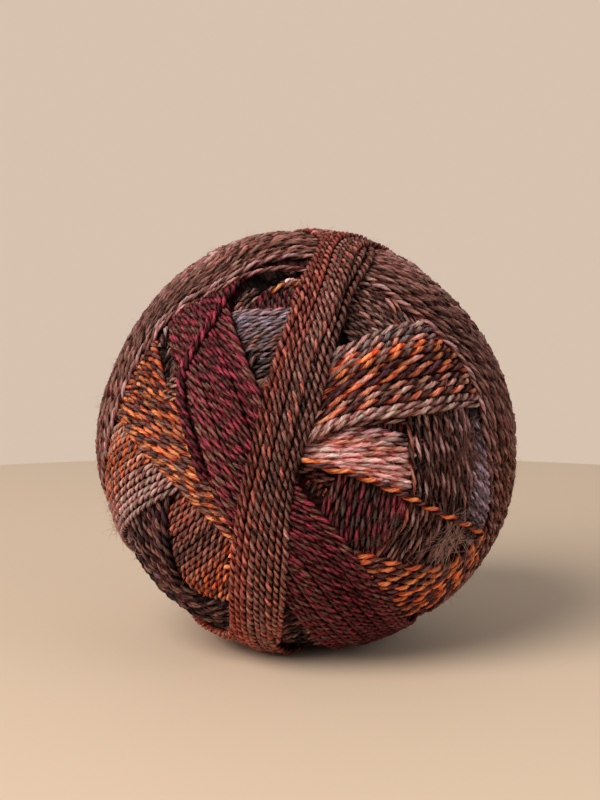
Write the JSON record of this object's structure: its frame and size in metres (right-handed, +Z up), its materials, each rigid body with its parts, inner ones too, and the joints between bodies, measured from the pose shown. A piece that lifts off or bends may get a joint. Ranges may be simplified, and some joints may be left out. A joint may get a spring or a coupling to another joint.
{
  "type": "ball of yarn",
  "caption": "Hand-wound ball of fine variegated two-ply wool yarn, its turns crossing in broad bands, with a loose end lying on top and a small flat spot to rest on.",
  "frame": {"origin": "middle of the flat spot under the ball, below the ball's centre", "axes": "+Z up through the ball's centre, -Y towards the front where the loose end lies, +X to the right seen from the front"},
  "size_m": [0.0992, 0.1, 0.0986],
  "materials": {
    "wound_yarn": "soft matt two-ply wool with a little halo, its colour changing slowly along the yarn: rust, orange, taupe, wine, grey and dusty pink",
    "end_yarn": "soft matt two-ply wool, one ply orange and the other dark brown"
  },
  "bodies": {
    "root": {"ball": "wound_yarn", "loose_end": "end_yarn"}
  },
  "joints": []
}
